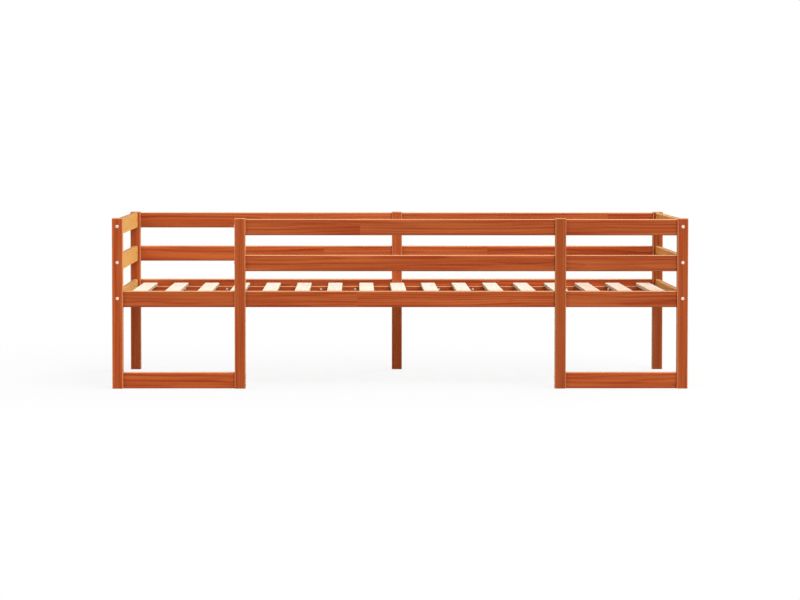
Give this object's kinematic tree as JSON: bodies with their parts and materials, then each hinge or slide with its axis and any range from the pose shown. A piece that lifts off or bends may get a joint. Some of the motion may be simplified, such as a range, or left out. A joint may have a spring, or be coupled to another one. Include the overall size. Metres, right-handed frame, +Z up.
{
  "type": "kids bed",
  "caption": "Low kids bed frame of stained pine with square posts, guard rails on all sides, an open bay at the front left to climb in by, and a slatted base for a mattress.",
  "frame": {"origin": "on the floor, under the middle of the bed", "axes": "+X along the bed to the right as seen from its front, +Y from the front to the back, +Z up"},
  "size_m": [2.082, 0.9864, 0.6165],
  "materials": {
    "stained_pine": "reddish-brown stain under satin lacquer",
    "bare_pine": "planed, unstained",
    "zinc_plated_steel": "bright zinc plating",
    "beech": "raw turned dowel"
  },
  "bodies": {
    "root": {"barrel_nuts": "zinc_plated_steel", "cam_bolts": "zinc_plated_steel", "cam_discs": "zinc_plated_steel", "connector_bolts": "zinc_plated_steel", "dowels": "beech", "front_left_corner_post": "stained_pine", "front_left_floor_rail": "stained_pine", "front_left_inner_post": "stained_pine", "front_left_ledger": "stained_pine", "front_left_side_rail": "stained_pine", "front_middle_ledger": "stained_pine", "front_middle_lower_guard": "stained_pine", "front_middle_side_rail": "stained_pine", "front_middle_upper_guard": "stained_pine", "front_right_corner_post": "stained_pine", "front_right_floor_rail": "stained_pine", "front_right_inner_post": "stained_pine", "front_right_ledger": "stained_pine", "front_right_lower_guard": "stained_pine", "front_right_side_rail": "stained_pine", "front_right_upper_guard": "stained_pine", "ledger_screws": "zinc_plated_steel", "left_end_lower_guard": "stained_pine", "left_end_side_rail": "stained_pine", "left_end_upper_guard": "stained_pine", "rear_left_ledger": "stained_pine", "rear_left_lower_guard": "stained_pine", "rear_left_post": "stained_pine", "rear_left_side_rail": "stained_pine", "rear_left_upper_guard": "stained_pine", "rear_middle_post": "stained_pine", "rear_right_ledger": "stained_pine", "rear_right_lower_guard": "stained_pine", "rear_right_post": "stained_pine", "rear_right_side_rail": "stained_pine", "rear_right_upper_guard": "stained_pine", "right_end_lower_guard": "stained_pine", "right_end_side_rail": "stained_pine", "right_end_upper_guard": "stained_pine", "slat_01": "bare_pine", "slat_02": "bare_pine", "slat_03": "bare_pine", "slat_04": "bare_pine", "slat_05": "bare_pine", "slat_06": "bare_pine", "slat_07": "bare_pine", "slat_08": "bare_pine", "slat_09": "bare_pine", "slat_10": "bare_pine", "slat_11": "bare_pine", "slat_12": "bare_pine", "slat_13": "bare_pine", "slat_14": "bare_pine", "slat_15": "bare_pine", "slat_16": "bare_pine", "slat_17": "bare_pine", "slat_screws": "zinc_plated_steel"}
  },
  "joints": []
}
